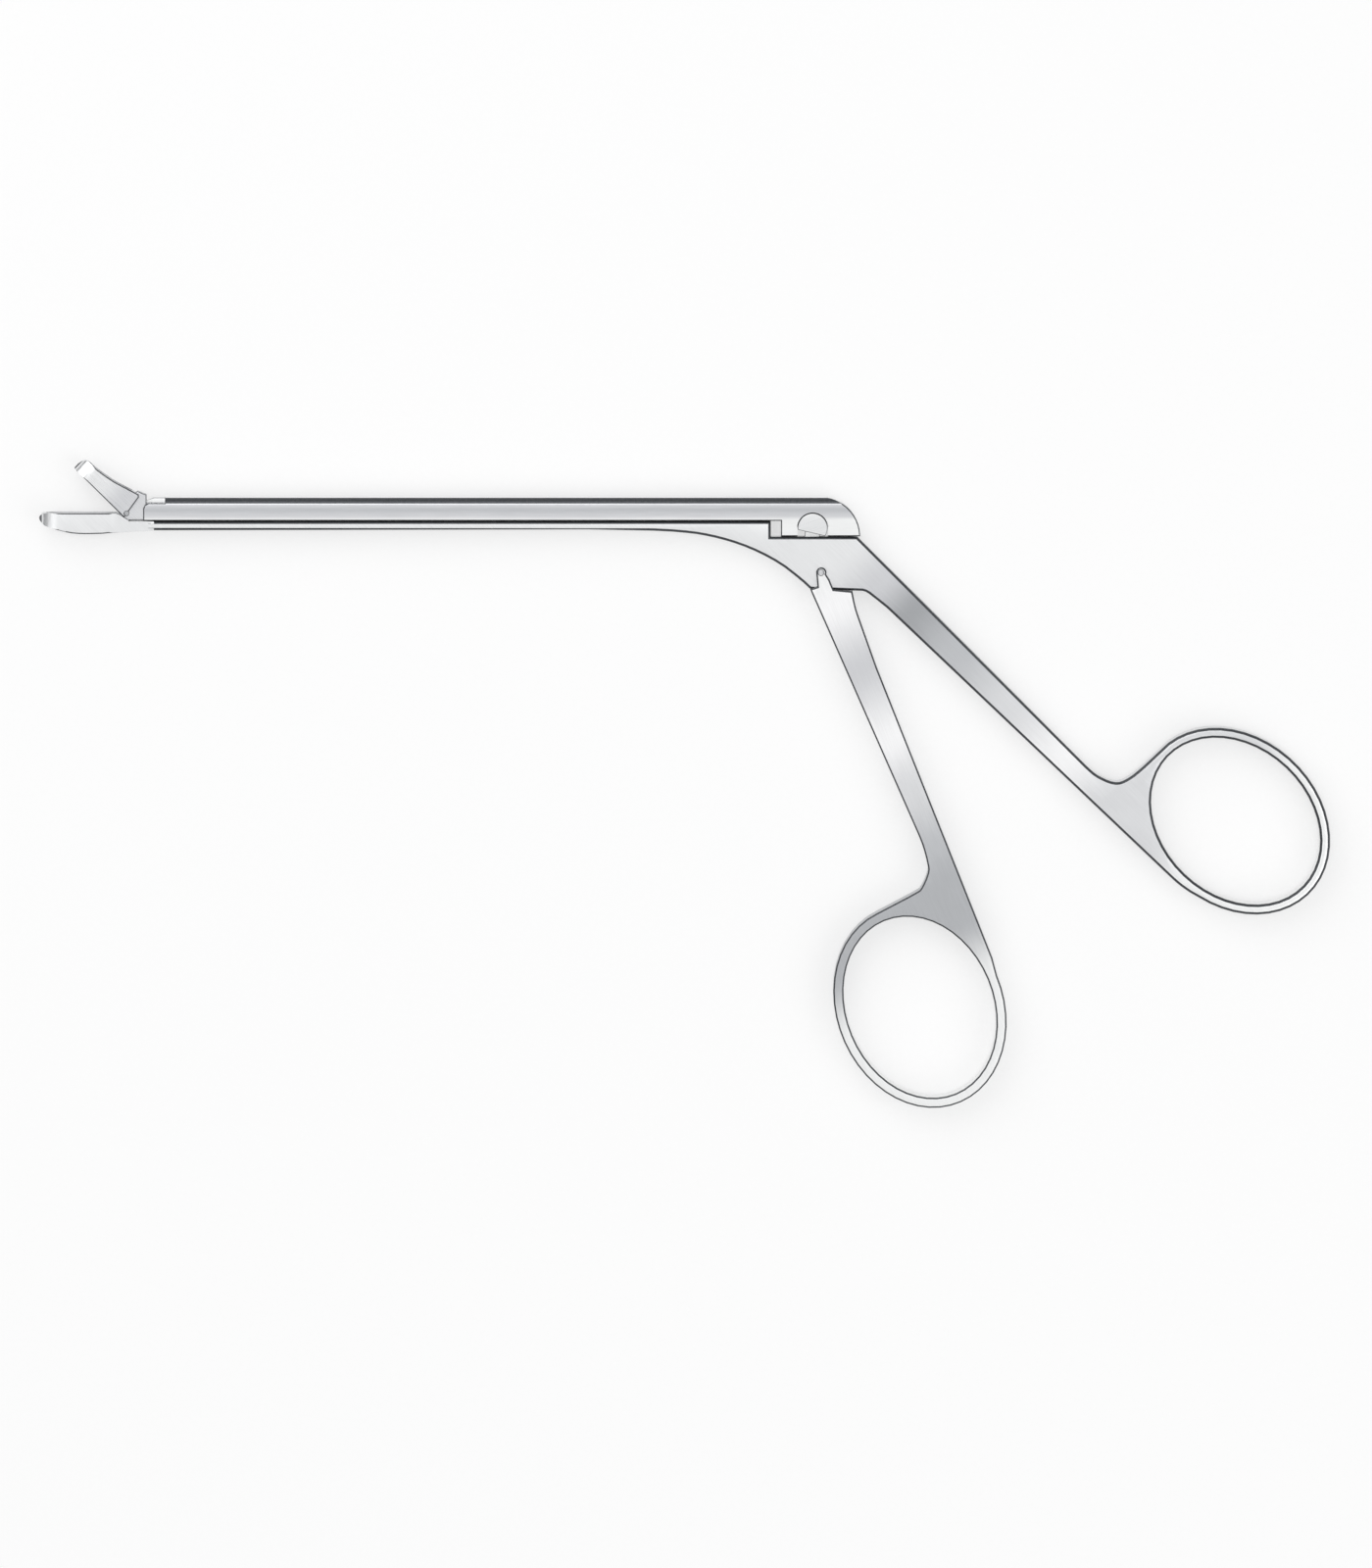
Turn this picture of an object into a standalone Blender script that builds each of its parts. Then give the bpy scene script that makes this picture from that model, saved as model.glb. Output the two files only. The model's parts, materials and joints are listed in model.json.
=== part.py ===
"""Nasal cutting forceps with through-cutting jaws, lying on their side with the jaws open.

The working plane is XY: the jaws point to -X, the shaft is up at +Y and the finger rings hang
below it. Z runs across the instrument. Sizes are in millimetres, measured from the pivot of the
front handle, and become metres when a shape is made.
"""
import math

import bmesh
import bpy
from mathutils import Matrix

MM = 0.001
OBJECT_NAME = "nasal_cutting_forceps"

# Widths across the instrument.
SHAFT_WIDTH = 4.0
LOWER_JAW_WIDTH = 5.2
LOWER_JAW_WALL = 0.6
HANDLE_THICKNESS = 5.6
TONGUE_WIDTH = 1.2
LAMELLA_WALL = 0.62
BLADE_WIDTH = 1.4
SIDE_CLEARANCE = 0.06
JAW_CLEARANCE = 0.10

# Straight shafts: the bed of the drive block above the handle pivot, and what stands on it.
BED_Y = 5.56
SEAM_ABOVE_BED = 2.39
SLIDE_HEIGHT = 3.69
LOWER_SHAFT_HEIGHT = 1.30
SLIDING_GAP = 0.08
SEAM_Y = BED_Y + SEAM_ABOVE_BED
SHAFT_TOP_Y = SEAM_Y + SLIDE_HEIGHT
LOWER_SHAFT_BOTTOM_Y = SEAM_Y - LOWER_SHAFT_HEIGHT

# Reach of the shafts from the handle pivot forward to the hinge of the jaws.
SHAFT_REACH = 108.30
JAW_PIVOT_BELOW_SEAM = 0.65
JAW_PIVOT = (-SHAFT_REACH, SEAM_Y - JAW_PIVOT_BELOW_SEAM)

# Stroke of the slide, and the shoulder of the body that ends it.
SLIDE_TRAVEL = 1.5
SHOULDER_X = -7.77
STROKE_RESERVE = 0.07
SLIDE_BEHIND_JAW = 3.34
SLIDE_NOTCH_LENGTH = 3.42
SLIDE_NOTCH_DEPTH = 0.94
SLIDE_TOP_ROUND = 1.3
SLIDE_FRONT_X = JAW_PIVOT[0] + SLIDE_BEHIND_JAW
SLIDE_NOTCH_X = SLIDE_FRONT_X + SLIDE_NOTCH_LENGTH
SLIDE_NOTCH_Y = SHAFT_TOP_Y - SLIDE_NOTCH_DEPTH

# T-shaped rail on the body that holds the slide down.
RAIL_BEHIND_SLIDE_FRONT = 8.96
RAIL_BEFORE_SHOULDER = 3.23
RAIL_FRONT_X = SLIDE_FRONT_X + RAIL_BEHIND_SLIDE_FRONT
RAIL_REAR_X = SHOULDER_X - RAIL_BEFORE_SHOULDER
RAIL_STEM_WIDTH = 1.1
RAIL_HEAD_WIDTH = 2.2
RAIL_STEM_HEIGHT = 0.9
RAIL_HEAD_HEIGHT = 0.8
RAIL_CLEARANCE = 0.08

# Jaws: the hinge in the root of the fixed jaw, and the sizes measured from it.
JAW_OPEN_DEG = 44.7
JAW_PIN_RADIUS = 0.45
LINK_PIN_RADIUS = 0.40
PIN_CLEARANCE = 0.05
JAW_HUB_RADIUS = 0.90
LINK_EYE_RADIUS = 0.72
LOWER_JAW_REACH = 12.84
LOWER_JAW_RIM = 1.90
UPPER_JAW_REACH = 11.50
UPPER_JAW_WALL = 0.60
UPPER_JAW_FACE = 1.10
WINDOW_END = -1.25
WINDOW_TIP_REACH = 11.75
FORK_ROOT = -1.65
NECK_REACH = 3.80
CHEEK_SLOT_REACH = 4.60

# Handle joint and the round drive head on the blade.
HANDLE_PIN_RADIUS = 0.50
EAR_RADIUS = 0.80
DRIVE_ARM = 6.99
DRIVE_LEAN_DEG = 10.63
DRIVE_HEAD_RADIUS = 2.30
DRIVE_CLEARANCE = 0.06

# Blade that stands on the handle between the cheeks, as left and right edges from the bottom up.
BLADE_TOP_Y = BED_Y + 2.29
BLADE_LEFT = [(-0.25, -5.4), (-1.4, -3.0), (-1.75, 0.0), (-2.55, BED_Y - 0.2), (-2.25, BLADE_TOP_Y)]
BLADE_RIGHT = [(3.8, -5.4), (3.5, -3.3), (1.6, 0.0), (-0.15, BED_Y - 0.2), (-0.35, BLADE_TOP_Y)]
SWING_CLEARANCE = 0.35

# Where along the rear shank its thickness starts to grow, and how far before the ring it is full.
SHANK_GROWS_FROM = 10.5
SHANK_FULL_BEFORE_RING = 0.65

# Finger rings: centre, half axes and lean of the long axis, outside and inside.
FRONT_RING_DROP = 67.52
FRONT_SHANK_LEAN_DEG = 22.7
FRONT_RING_AHEAD = 12.86
REAR_RING_DROP = 38.60
REAR_RING_BEHIND = 25.68
FRONT_RING_CENTRE = (FRONT_RING_DROP * math.tan(math.radians(FRONT_SHANK_LEAN_DEG)) - FRONT_RING_AHEAD,
                     -FRONT_RING_DROP)
REAR_RING_CENTRE = (REAR_RING_DROP + REAR_RING_BEHIND, -REAR_RING_DROP)
RING_HALF_AXES = (16.10, 12.95)
RING_BAND = 1.60
FRONT_RING_LEAN_DEG = 112.5
REAR_RING_LEAN_DEG = 136.4

# Rounding of long edges, and how finely arcs are cut.
HANDLE_EDGE = 0.25
BODY_EDGE = 0.40
FINE_EDGE = 0.18
ARC_STEP_DEG = 7.5
OVERSHOOT = 1.0

JAW_OPEN = math.radians(JAW_OPEN_DEG)
LINK_ARM = SLIDE_TRAVEL / (2.0 * math.sin(JAW_OPEN / 2.0))
LINK_RISE = LINK_ARM * (1.0 - math.cos(JAW_OPEN / 2.0))
DRIVE_LEAN = math.radians(DRIVE_LEAN_DEG)
HANDLE_SWING = math.asin(math.sin(DRIVE_LEAN) + SLIDE_TRAVEL / DRIVE_ARM) - DRIVE_LEAN
DRIVE_X = -DRIVE_ARM * math.sin(DRIVE_LEAN)
DRIVE_Y = DRIVE_ARM * math.cos(DRIVE_LEAN)
BLOCK_FRONT_X = SHOULDER_X + SLIDE_TRAVEL + STROKE_RESERVE
BLOCK_HEIGHT = SHAFT_TOP_Y - BED_Y

HALF_SHAFT = SHAFT_WIDTH / 2.0
HALF_LOWER_JAW = LOWER_JAW_WIDTH / 2.0
HALF_WINDOW = HALF_LOWER_JAW - LOWER_JAW_WALL
HALF_UPPER_JAW = HALF_WINDOW - JAW_CLEARANCE
HALF_HANDLE = HANDLE_THICKNESS / 2.0
HALF_TONGUE = TONGUE_WIDTH / 2.0
HALF_FORK = HALF_TONGUE + SIDE_CLEARANCE
HALF_NECK = HALF_FORK + LAMELLA_WALL
HALF_BLADE = BLADE_WIDTH / 2.0
SEAM_ABOVE_JAW_PIVOT = SEAM_Y - JAW_PIVOT[1]

FIXED = (0.0, 0.0, 0.0)
JAW_FRAME = (JAW_PIVOT[0], JAW_PIVOT[1], -JAW_OPEN)


def turned(points, angle):
    """Points turned about the origin by an angle in radians."""
    cosine = math.cos(angle)
    sine = math.sin(angle)
    return [(x * cosine - y * sine, x * sine + y * cosine) for x, y in points]


def arc(centre, radius, start_deg, end_deg):
    """Points along a circular arc, both ends included."""
    steps = max(2, math.ceil(abs(end_deg - start_deg) / ARC_STEP_DEG))
    points = []
    for index in range(steps + 1):
        angle = math.radians(start_deg + (end_deg - start_deg) * index / steps)
        points.append((centre[0] + radius * math.cos(angle), centre[1] + radius * math.sin(angle)))
    return points


def ellipse_angle(centre, half_axes, lean_deg, point):
    """Ellipse parameter, in degrees, of the place on the ellipse nearest in angle to a point."""
    offset = [(point[0] - centre[0], point[1] - centre[1])]
    along, across = turned(offset, -math.radians(lean_deg))[0]
    return math.degrees(math.atan2(across / half_axes[1], along / half_axes[0]))


def ellipse(centre, half_axes, lean_deg, start_deg, end_deg):
    """Points along a leaning ellipse between two parameters, both ends included."""
    steps = max(2, math.ceil(abs(end_deg - start_deg) / ARC_STEP_DEG))
    points = []
    for index in range(steps + 1):
        angle = math.radians(start_deg + (end_deg - start_deg) * index / steps)
        points.append((half_axes[0] * math.cos(angle), half_axes[1] * math.sin(angle)))
    return [(x + centre[0], y + centre[1]) for x, y in turned(points, math.radians(lean_deg))]


def smooth(points, steps=4):
    """Points of a smooth curve through the given ones, both ends included."""
    padded = [points[0]] + list(points) + [points[-1]]
    result = []
    for before, start, end, after in zip(padded, padded[1:], padded[2:], padded[3:]):
        for index in range(steps):
            t = index / steps
            mixed = []
            for b, s, e, a in zip(before, start, end, after):
                mixed.append(0.5 * (2 * s + (e - b) * t + (2 * b - 5 * s + 4 * e - a) * t * t
                                    + (3 * s - b - 3 * e + a) * t ** 3))
            result.append(tuple(mixed))
    result.append(tuple(points[-1]))
    return result


def box_outline(x0, x1, y0, y1):
    """Four corners of an upright rectangle."""
    return [(x0, y0), (x1, y0), (x1, y1), (x0, y1)]


def shifted(points, origin):
    """Points moved by the place that they were measured from."""
    return [(x + origin[0], y + origin[1]) for x, y in points]


def ellipse_reach(half_axes, lean_deg):
    """Half width and half height of a leaning ellipse."""
    lean = math.radians(lean_deg)
    across = math.hypot(half_axes[0] * math.cos(lean), half_axes[1] * math.sin(lean))
    up = math.hypot(half_axes[0] * math.sin(lean), half_axes[1] * math.cos(lean))
    return across, up


def steel(name, colour, roughness):
    """Stainless steel of one shade."""
    material = bpy.data.materials.new(name)
    material.use_nodes = True
    shader = material.node_tree.nodes["Principled BSDF"]
    shader.inputs["Base Color"].default_value = (*colour, 1.0)
    shader.inputs["Roughness"].default_value = roughness
    shader.inputs["Metallic"].default_value = 1.0
    return material


def place(target, frame):
    """Put an object's origin at a frame's place, with the frame's turn about Z."""
    target.location = (frame[0] * MM, frame[1] * MM, 0.0)
    target.rotation_euler = (0.0, 0.0, frame[2])
    target.parent = ROOT


def extrusion(name, outlines, low, high, frame, edge=0.0, along_y=False):
    """A flat outline, with any holes, made solid between two heights, with rounded edges.

    The heights run along Z. With along_y the outline lies in XZ and the heights run along Y.
    """
    curve = bpy.data.curves.new(name, "CURVE")
    curve.dimensions = "2D"
    curve.fill_mode = "BOTH"
    curve.extrude = ((high - low) / 2.0 - edge) * MM
    curve.bevel_depth = edge * MM
    curve.offset = -edge * MM
    curve.bevel_resolution = 1
    for outline in outlines:
        spline = curve.splines.new("POLY")
        spline.points.add(len(outline) - 1)
        for point, (x, y) in zip(spline.points, outline):
            point.co = (x * MM, y * MM, 0.0, 1.0)
        spline.use_cyclic_u = True
    drawn = bpy.data.objects.new(name, curve)
    PARTS.objects.link(drawn)
    evaluated = drawn.evaluated_get(bpy.context.evaluated_depsgraph_get())
    mesh = bpy.data.meshes.new_from_object(evaluated)
    bpy.data.objects.remove(drawn)
    bpy.data.curves.remove(curve)
    middle = (low + high) / 2.0 * MM
    if along_y:
        mesh.transform(Matrix.Translation((0.0, middle, 0.0)) @ Matrix.Rotation(math.pi / 2.0, 4, "X"))
    else:
        mesh.transform(Matrix.Translation((0.0, 0.0, middle)))
    weld = bmesh.new()
    weld.from_mesh(mesh)
    bmesh.ops.remove_doubles(weld, verts=weld.verts, dist=1e-6)
    bmesh.ops.recalc_face_normals(weld, faces=weld.faces)
    weld.to_mesh(mesh)
    weld.free()
    mesh.name = name
    solid = bpy.data.objects.new(name, mesh)
    place(solid, frame)
    return solid


def pin(name, radius, low, high, frame, centre=(0.0, 0.0)):
    """A round pin along Z between two heights."""
    mesh = bpy.data.meshes.new(name)
    cylinder = bmesh.new()
    turn = Matrix.Translation((centre[0] * MM, centre[1] * MM, (low + high) / 2.0 * MM))
    bmesh.ops.create_cone(cylinder, cap_ends=True, segments=24, radius1=radius * MM,
                          radius2=radius * MM, depth=(high - low) * MM, matrix=turn)
    cylinder.to_mesh(mesh)
    cylinder.free()
    solid = bpy.data.objects.new(name, mesh)
    place(solid, frame)
    return solid


def as_cutter(solid):
    """File a helper solid with the cutters."""
    CUTTERS.objects.link(solid)
    solid.hide_render = True
    solid.display_type = "WIRE"
    return solid


def combine(target, other, operation):
    """Cut a helper from a piece, join it on, or keep only what both share."""
    modifier = target.modifiers.new(other.name, "BOOLEAN")
    modifier.operation = operation
    modifier.object = as_cutter(other)
    modifier.solver = "EXACT"


def finish(solid, material, smooth_deg=30.0):
    """File a finished piece with the parts, in its steel, with its round stretches smooth."""
    PARTS.objects.link(solid)
    solid.data.materials.clear()
    solid.data.materials.append(material)
    solid.data.shade_smooth()
    solid.data.set_sharp_from_angle(angle=math.radians(smooth_deg))
    return solid


def lower_jaw_profile():
    """Side outline of the fixed jaw, from its hinge, closed under the slope to the shaft."""
    reach = LOWER_JAW_REACH
    nose = smooth([(-0.9, LOWER_JAW_RIM), (1.55 - reach, LOWER_JAW_RIM), (0.55 - reach, 1.72),
                   (-reach, 1.15), (0.40 - reach, 0.42), (1.44 - reach, -0.25),
                   (5.2 - reach, -1.22), (9.3 - reach, -1.30), (-1.2, -1.12),
                   (5.0, LOWER_SHAFT_BOTTOM_Y - 0.16 - JAW_PIVOT[1])])
    rim_drop = [(5.0, SEAM_ABOVE_JAW_PIVOT), (1.15, SEAM_ABOVE_JAW_PIVOT), (-0.3, LOWER_JAW_RIM - 0.25)]
    return nose + rim_drop


def spoon_plan(tip_reach, half_width, heel_x, heel_half, blunt=1.0):
    """Plan outline in XZ of a jaw: a round nose, parallel sides and a heel."""
    nose = [(-tip_reach, 0.0), (0.28 * blunt - tip_reach, 0.42 * half_width),
            (1.0 * blunt - tip_reach, 0.76 * half_width), (2.4 * blunt - tip_reach, 0.97 * half_width),
            (4.0 * blunt - tip_reach, half_width)]
    mirrored = [(x, -z) for x, z in reversed(nose[1:])]
    loop = smooth(mirrored + nose, 3)
    return [(heel_x, -heel_half)] + loop + [(heel_x, heel_half)]


def build_fixed_body():
    """Lower shaft, fixed jaw, rear shank and rear ring, forged as one piece."""
    seam = SEAM_Y - SLIDING_GAP / 2.0
    bed = BED_Y - SLIDING_GAP / 2.0
    shank_top_x = BED_Y + 0.08
    blends = shifted([(-10.38, 12.0), (-3.98, -12.7)], REAR_RING_CENTRE)
    ring_start = ellipse_angle(REAR_RING_CENTRE, RING_HALF_AXES, REAR_RING_LEAN_DEG, blends[0])
    ring_end = ellipse_angle(REAR_RING_CENTRE, RING_HALF_AXES, REAR_RING_LEAN_DEG, blends[1])
    notch = smooth(shifted([(-23.24, 8.73), (-21.34, 7.14), (-18.6, 6.07), (-16.48, 6.83), (-14.2, 8.66)],
                           REAR_RING_CENTRE))
    outline = [(JAW_PIVOT[0] + 3.4, seam), (SHOULDER_X, seam), (SHOULDER_X, bed), (shank_top_x, bed)]
    outline += notch
    while ring_end > ring_start:
        ring_end -= 360.0
    outline += ellipse(REAR_RING_CENTRE, RING_HALF_AXES, REAR_RING_LEAN_DEG, ring_start, ring_end)
    outline += smooth(shifted([(-7.05, -11.1), (-9.12, -9.58), (-12.37, -6.54)], REAR_RING_CENTRE))
    outline += smooth([(10.31, -5.62), (7.45, -3.34), (6.46, -2.89)], 3)
    outline += [(-1.69, -2.58)]
    outline += smooth([(-2.66, -1.66), (-5.7, 0.78), (-8.74, 2.58), (-11.78, 3.95), (-14.82, 4.96),
                       (-17.86, 5.68), (-20.9, 6.12), (-26.0, 6.45), (-36.0, LOWER_SHAFT_BOTTOM_Y)], 2)
    outline += [(JAW_PIVOT[0] + 3.4, LOWER_SHAFT_BOTTOM_Y - 0.14)]
    inner_axes = [axis - RING_BAND for axis in RING_HALF_AXES]
    hole = ellipse(REAR_RING_CENTRE, inner_axes, REAR_RING_LEAN_DEG, 0.0, 360.0)[:-1]
    body = extrusion("fixed_body", [outline, hole], -HALF_SHAFT, HALF_SHAFT, FIXED, BODY_EDGE)
    thicken_toward_ring(body)

    jaw_frame = (JAW_PIVOT[0], JAW_PIVOT[1], 0.0)
    jaw = extrusion("lower_jaw_blank", [lower_jaw_profile()], -HALF_LOWER_JAW, HALF_LOWER_JAW, jaw_frame,
                    FINE_EDGE)
    plan = spoon_plan(LOWER_JAW_REACH, HALF_LOWER_JAW, -2.0, HALF_LOWER_JAW)
    plan[0:1] = [(6.0, -HALF_SHAFT + 0.02), (4.2, -HALF_SHAFT + 0.02), (1.2, -HALF_LOWER_JAW + 0.28),
                 (-2.0, -HALF_LOWER_JAW)]
    plan[-1:] = [(-2.0, HALF_LOWER_JAW), (1.2, HALF_LOWER_JAW - 0.28), (4.2, HALF_SHAFT - 0.02),
                 (6.0, HALF_SHAFT - 0.02)]
    combine(jaw, extrusion("lower_jaw_plan", [plan], -4.0, 4.0, jaw_frame, along_y=True), "INTERSECT")
    combine(body, jaw, "UNION")

    window = spoon_plan(WINDOW_TIP_REACH, HALF_WINDOW, WINDOW_END, HALF_WINDOW, 0.9)
    combine(body, extrusion("lower_jaw_window", [window], -4.0, 4.0, jaw_frame, along_y=True), "DIFFERENCE")
    shelf = extrusion("jaw_shelf", [box_outline(WINDOW_END - OVERSHOOT, 6.5, SEAM_ABOVE_JAW_PIVOT
                                                - SLIDING_GAP / 2.0, 4.0)],
                      -HALF_WINDOW, HALF_WINDOW, jaw_frame)
    combine(body, shelf, "DIFFERENCE")
    for side in (-1.0, 1.0):
        faces = sorted((side * HALF_TONGUE, side * (HALF_NECK + SIDE_CLEARANCE)))
        pocket = extrusion("lamella_pocket", [box_outline(WINDOW_END - OVERSHOOT, JAW_HUB_RADIUS + 0.35,
                                                          -3.0, 3.0)], faces[0], faces[1], jaw_frame)
        combine(body, pocket, "DIFFERENCE")
    bore = pin("jaw_pin_bore", JAW_PIN_RADIUS + PIN_CLEARANCE, -4.0, HALF_SHAFT - 0.3, jaw_frame)
    combine(body, bore, "DIFFERENCE")

    stem = extrusion("rail_stem", [box_outline(RAIL_FRONT_X, RAIL_REAR_X, SEAM_Y - OVERSHOOT / 2.0,
                                               SEAM_Y + RAIL_STEM_HEIGHT + 0.1)],
                     -RAIL_STEM_WIDTH / 2.0, RAIL_STEM_WIDTH / 2.0, FIXED)
    combine(body, stem, "UNION")
    head = extrusion("rail_head", [box_outline(RAIL_FRONT_X, RAIL_REAR_X, SEAM_Y + RAIL_STEM_HEIGHT,
                                               SEAM_Y + RAIL_STEM_HEIGHT + RAIL_HEAD_HEIGHT)],
                     -RAIL_HEAD_WIDTH / 2.0, RAIL_HEAD_WIDTH / 2.0, FIXED)
    combine(body, head, "UNION")

    half_slot = HALF_BLADE + SIDE_CLEARANCE
    slot = extrusion("blade_slot", [blade_slot_outline()], -half_slot, half_slot, FIXED)
    combine(body, slot, "DIFFERENCE")
    pivot_bore = pin("handle_bore", HANDLE_PIN_RADIUS + PIN_CLEARANCE, -4.0, 4.0, FIXED)
    combine(body, pivot_bore, "DIFFERENCE")
    return finish(body, steel("steel_body", (0.60, 0.61, 0.62), 0.28))


def blade_slot_outline():
    """Outline of the space that the blade sweeps in the body, from the crotch to above the bed."""
    left = []
    for rest, swung in zip(BLADE_LEFT, turned(BLADE_LEFT, HANDLE_SWING)):
        left.append((min(rest[0], swung[0]) - SWING_CLEARANCE, max(rest[1], swung[1])))
    right = []
    for rest, swung in zip(BLADE_RIGHT, turned(BLADE_RIGHT, HANDLE_SWING)):
        right.append((max(rest[0], swung[0]) + SWING_CLEARANCE, max(rest[1], swung[1])))
    return left + right[::-1]


def thicken_toward_ring(body):
    """Let the rear shank grow from the width of the body to that of the ring."""
    direction = (math.sqrt(0.5), -math.sqrt(0.5), 0.0)
    start = SHANK_GROWS_FROM
    ring_station = (REAR_RING_CENTRE[0] - REAR_RING_CENTRE[1]) * direction[0]
    end = ring_station - RING_HALF_AXES[0] - SHANK_FULL_BEFORE_RING
    mesh = bmesh.new()
    mesh.from_mesh(body.data)
    for station in (start, end):
        plane_point = [component * station * MM for component in direction]
        bmesh.ops.bisect_plane(mesh, geom=mesh.verts[:] + mesh.edges[:] + mesh.faces[:],
                               plane_co=plane_point, plane_no=direction, dist=1e-7)
    full = HALF_HANDLE / HALF_SHAFT
    for vertex in mesh.verts:
        station = (vertex.co.x * direction[0] + vertex.co.y * direction[1]) / MM
        share = min(1.0, max(0.0, (station - start) / (end - start)))
        vertex.co.z *= 1.0 + (full - 1.0) * share
    mesh.to_mesh(body.data)
    mesh.free()


def build_slide():
    """Upper shaft with its drive block, the notch for the drive head and the front tongue."""
    seam = SEAM_Y + SLIDING_GAP / 2.0
    bed = BED_Y + SLIDING_GAP / 2.0
    outline = [(SLIDE_FRONT_X, seam), (SLIDE_FRONT_X, SLIDE_NOTCH_Y - 0.8)]
    outline += [(SLIDE_FRONT_X + 0.25, SLIDE_NOTCH_Y - 0.25), (SLIDE_FRONT_X + 0.76, SLIDE_NOTCH_Y)]
    outline += [(SLIDE_NOTCH_X, SLIDE_NOTCH_Y), (SLIDE_NOTCH_X, SHAFT_TOP_Y)]
    outline += arc((0.0, BED_Y), BLOCK_HEIGHT, 90.0, 3.0)
    outline += [(BLOCK_HEIGHT, bed), (BLOCK_FRONT_X, bed), (BLOCK_FRONT_X, seam)]
    slide = extrusion("slide_shaft", [outline], -HALF_SHAFT, HALF_SHAFT, FIXED, FINE_EDGE)

    corner = HALF_SHAFT - SLIDE_TOP_ROUND
    crown = arc((corner, SHAFT_TOP_Y - SLIDE_TOP_ROUND), SLIDE_TOP_ROUND, 0.0, 90.0)
    section = crown + [(-z, y) for z, y in reversed(crown)]
    section += [(-HALF_SHAFT, BED_Y - OVERSHOOT), (HALF_SHAFT, BED_Y - OVERSHOOT)]
    length = (-SLIDE_FRONT_X + BLOCK_HEIGHT) / 2.0 + OVERSHOOT
    crown_bar = extrusion("slide_crown", [section], -length, length, FIXED)
    stand_along_x(crown_bar, (SLIDE_FRONT_X + BLOCK_HEIGHT) / 2.0)
    combine(slide, crown_bar, "INTERSECT")

    half_cheek_gap = HALF_NECK + JAW_CLEARANCE
    slot = extrusion("cheek_slot", [box_outline(SLIDE_FRONT_X - OVERSHOOT, JAW_PIVOT[0] + CHEEK_SLOT_REACH,
                                                BED_Y, SHAFT_TOP_Y + OVERSHOOT)],
                     -half_cheek_gap, half_cheek_gap, FIXED)
    combine(slide, slot, "DIFFERENCE")
    tongue = build_tongue()
    combine(slide, tongue, "UNION")
    link = turned([(0.0, LINK_ARM)], -JAW_OPEN / 2.0)[0]
    eye = (JAW_PIVOT[0] + link[0], JAW_PIVOT[1] + link[1])
    eye_radius = LINK_PIN_RADIUS + PIN_CLEARANCE
    oblong = arc(eye, eye_radius, 180.0, 360.0)
    oblong += arc((eye[0], eye[1] + LINK_RISE), eye_radius, 0.0, 180.0)
    combine(slide, extrusion("link_eye", [oblong], -2.0, 2.0, FIXED), "DIFFERENCE")

    front = RAIL_FRONT_X - 0.5
    rear = RAIL_REAR_X + SLIDE_TRAVEL + 0.5
    stem = extrusion("rail_slot_stem", [box_outline(front, rear, BED_Y, SEAM_Y + RAIL_STEM_HEIGHT)],
                     -RAIL_STEM_WIDTH / 2.0 - RAIL_CLEARANCE, RAIL_STEM_WIDTH / 2.0 + RAIL_CLEARANCE, FIXED)
    combine(slide, stem, "DIFFERENCE")
    head = extrusion("rail_slot_head",
                     [box_outline(front, rear, SEAM_Y + RAIL_STEM_HEIGHT - RAIL_CLEARANCE,
                                  SEAM_Y + RAIL_STEM_HEIGHT + RAIL_HEAD_HEIGHT + RAIL_CLEARANCE)],
                     -RAIL_HEAD_WIDTH / 2.0 - RAIL_CLEARANCE, RAIL_HEAD_WIDTH / 2.0 + RAIL_CLEARANCE, FIXED)
    combine(slide, head, "DIFFERENCE")

    notch_radius = DRIVE_HEAD_RADIUS + DRIVE_CLEARANCE
    notch = arc((DRIVE_X, DRIVE_Y), notch_radius, 0.0, 180.0)
    notch += [(DRIVE_X - notch_radius, BED_Y - OVERSHOOT), (DRIVE_X + notch_radius, BED_Y - OVERSHOOT)]
    combine(slide, extrusion("drive_notch", [notch], -4.0, 4.0, FIXED), "DIFFERENCE")
    return finish(slide, steel("steel_slide", (0.62, 0.63, 0.64), 0.26))


def stand_along_x(bar, middle):
    """Turn a bar drawn as a section in XY so that it runs along X, its first axis along Z."""
    bar.data.transform(Matrix.Translation((middle * MM, 0.0, 0.0)) @ Matrix.Rotation(math.pi / 2.0, 4, "Y"))


def build_tongue():
    """Flat tongue at the front of the slide, with the eye that pulls on the jaw's cross pin."""
    link = turned([(0.0, LINK_ARM)], -JAW_OPEN / 2.0)[0]
    eye = (JAW_PIVOT[0] + link[0], JAW_PIVOT[1] + link[1])
    root_x = SLIDE_NOTCH_X + 1.2
    outline = arc((eye[0], eye[1] + LINK_RISE / 2.0), LINK_EYE_RADIUS + LINK_RISE / 2.0, 110.0, 270.0)
    outline += [(root_x, eye[1] - LINK_EYE_RADIUS), (root_x, SHAFT_TOP_Y - 0.12)]
    outline += [(SLIDE_FRONT_X + 1.6, SHAFT_TOP_Y - 0.12), (SLIDE_FRONT_X - 0.2, SLIDE_NOTCH_Y + 0.1)]
    return extrusion("tongue", [outline], -HALF_TONGUE, HALF_TONGUE, FIXED)


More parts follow.
